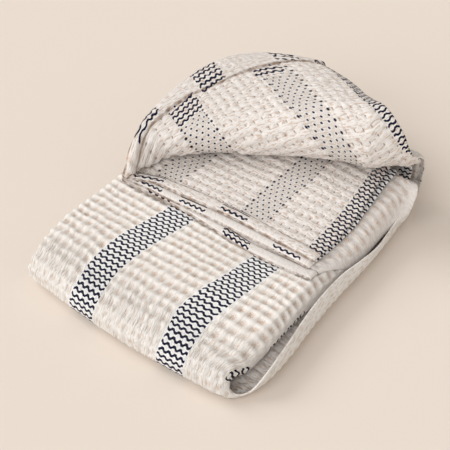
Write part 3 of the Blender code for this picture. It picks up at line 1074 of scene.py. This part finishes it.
# How wide the steps down from the page's hem and from the ledge are, how much of the reverse's
# relief a hem takes away, and how much of the face's relief shows on the corner's hem.
PAGE_STEP = (-1 * MM, 1.5 * MM)
LEDGE_STEP = (-1.2 * MM, 0.8 * MM)
BACK_PRESSED = 0.7
FACE_SHOWN = 0.8

# How much of a pocket's painted shade the corner's hem and the grooves between its cords have.
HEM_DIP = 0.7
GROOVE_DIP = 0.8

# The corner's hem is plain up to its side border, and so are blocks inside the ledge and the
# cloth just round them.
SIDE_BORDER = 20 * MM
ROUND_BLOCK = 2

# The chain along the corner's outer border: how far in it shows, by the distance along.
CHAIN_PLACES = (-70, 40, 100, 168, 182)
CHAIN_REACH = (17, 17, 12, 10, 0)

# Beside the left fold the hem is gathered in cords: their pitch, how far from the fold and
# from the hem they run out, and in millimetres how high they rise and how deep the grooves
# between them go.
CORD_PITCH = 7.5 * MM
CORDS_ACROSS = (18 * MM, 32 * MM)
CORDS_ALONG = (60 * MM, 130 * MM)
CORD_RISE = 1.4
CORD_GROOVE = 2.6


def top_fold_dress(weave_u, weave_s, u, from_top, from_end):
    """The weave, with its turned hem on the page and the ledge of the hem on the corner."""
    front, back, values = plain_cloth(weave_u, weave_s, u, from_top, from_end)
    on_corner = u > 0
    depth = from_top / MM

    # The hem's relief: a crown as wide as the ledge on the corner, a narrow puff on the page.
    page = 1 - ramp(from_top, HEM_WIDTH + PAGE_STEP[0], HEM_WIDTH + PAGE_STEP[1])
    puff = np.sqrt(np.sin(math.pi * np.clip(from_top / HEM_WIDTH, 0, 1)))
    ledge = np.interp(u / MM, LEDGE_PLACES, LEDGE_DEPTHS) * MM
    corner = 1 - ramp(from_top, ledge + LEDGE_STEP[0], ledge + LEDGE_STEP[1])
    crown = np.sqrt(np.sin(math.pi * np.clip(from_top / ledge, 0.03, 0.9)))
    hem = np.where(on_corner, corner, page)
    raised = np.where(on_corner, HEM_CROWN * crown, PAGE_RISE + PAGE_PUFF * puff)
    round_edge = np.where(on_corner, 0, HEM_ROUND * (1 - ramp(from_top, 0, HEM_ROUND_RUN)))
    back = back * (1 - hem * BACK_PRESSED) + raised * hem - round_edge
    back = back + FACE_SHOWN * front * hem * on_corner

    # The cords beside the left fold.
    by_fold = (1 - ramp(np.abs(u), *CORDS_ACROSS)) * (1 - ramp(from_top, *CORDS_ALONG))
    groove = by_fold * (0.5 - 0.5 * np.cos(2 * math.pi * u / CORD_PITCH))
    gathered = (CORD_RISE - CORD_GROOVE * groove) * by_fold * MM
    front = (front + gathered) * (1 - page) - round_edge
    back = back + gathered

    # The navy blocks of both hems.
    page_span = in_blocks(u, PAGE_HEM_BLOCKS)
    page_block = np.minimum(page_span, np.minimum(PAGE_REACH - depth, depth - MARKS_FROM))
    corner_block = [
        np.minimum(in_blocks(u, [(low, high)]), np.minimum(depth - near, far - depth))
        for low, high, near, far in OUTER_BLOCKS + INNER_BLOCKS
    ]
    inner_block = np.max(corner_block[len(OUTER_BLOCKS) :], axis=0) > -ROUND_BLOCK
    return front, back, {
        "dip": np.maximum(HEM_DIP * values["dip"] * hem * on_corner, GROOVE_DIP * groove),
        "row": np.where(on_corner, (depth - CORNER_ROWS) * ROW_SHARE, depth - PAGE_ROWS),
        "block": np.where(on_corner, np.max(corner_block, axis=0), page_block),
        "span": np.where(on_corner, -1, np.minimum(page_span, PAGE_SPAN - depth)),
        "line": depth - PAGE_LINE,
        "seam": np.where(on_corner, (depth - ledge / MM) * SEAM_SHARE, depth - HEM_WIDTH / MM),
        "plain": np.maximum(hem * (weave_u < OUTER_EDGE - SIDE_BORDER), on_corner * inner_block),
        "rope": np.interp(cloth_s(weave_s) / MM, CHAIN_PLACES, CHAIN_REACH),
        "rim": depth,
        "holes": 1.0,
        "pulled": 0.6,
    }


top_fold = cloth_sheet(
    "top_fold",
    places(CELL_ACROSS, (INNER_EDGE, OUTER_EDGE, 6)),
    places(CELL_ALONG, (FLAP_START, FLOOR_START, 6)),
    between_hems,
    top_fold_dress,
    (COTTON_FACE, COTTON_BACK),
)

# ---------------------------------------------------------------------------------------
# The floor, the light and the camera.  The floor is a sheet of matt pale paper, and the light
# is broad and soft, from the left and the front.

FLOOR = "#E6DCD2"
PAPER_ROUGHNESS = 0.95
REACH = 6.0
floor_mesh = bpy.data.meshes.new("pale_floor")
corners = [(-REACH, -REACH, 0), (REACH, -REACH, 0), (REACH, REACH, 0), (-REACH, REACH, 0)]
floor_mesh.from_pydata(corners, [], [(0, 1, 2, 3)])
floor = bpy.data.objects.new("pale_floor", floor_mesh)
bpy.context.collection.objects.link(floor)
paper = bpy.data.materials.new("matt_paper")
paper.use_nodes = True
paper_shader = paper.node_tree.nodes["Principled BSDF"]
paper_shader.inputs["Base Color"].default_value = linear(FLOOR)
paper_shader.inputs["Roughness"].default_value = PAPER_ROUGHNESS
floor_mesh.materials.append(paper)

ROOM_LIGHT = "#FFF7EE"
ROOM_STRENGTH = 0.5
scene = bpy.context.scene
world = bpy.data.worlds.new("studio")
scene.world = world
world.use_nodes = True
background = world.node_tree.nodes["Background"]
background.inputs["Color"].default_value = linear(ROOM_LIGHT)
background.inputs["Strength"].default_value = ROOM_STRENGTH

# Each light's name, the side it comes from, how many degrees wide it is, and its power.
LIGHTS = (
    ("key", (-1.4, -0.3, 1.1), 36, 1.4),
    ("front_fill", (0.0, -1.0, 0.6), 60, 1.5),
    ("right_fill", (1.2, 0.1, 0.8), 60, 0.15),
)
for name, place, width, power in LIGHTS:
    lamp = bpy.data.lights.new(name, "SUN")
    lamp.angle = math.radians(width)
    lamp.energy = power
    light = bpy.data.objects.new(name, lamp)
    light.location = place
    light.rotation_euler = Vector(place).to_track_quat("Z", "Y").to_euler()
    bpy.context.collection.objects.link(light)

# The camera, found from the blanket's own parallel edges.  It looks down at 41 degrees.
CAMERA_PLACE = (0.5868, -0.7567, 0.8595)
CAMERA_TILT = math.radians(49)
CAMERA_TURN = math.radians(38.5)
LENS = 76
SENSOR = 36
camera_data = bpy.data.cameras.new("camera")
camera_data.lens = LENS
camera_data.sensor_width = SENSOR
camera = bpy.data.objects.new("camera", camera_data)
camera.location = CAMERA_PLACE
camera.rotation_euler = (CAMERA_TILT, 0, CAMERA_TURN)
bpy.context.collection.objects.link(camera)
scene.camera = camera
scene.view_settings.view_transform = "Standard"
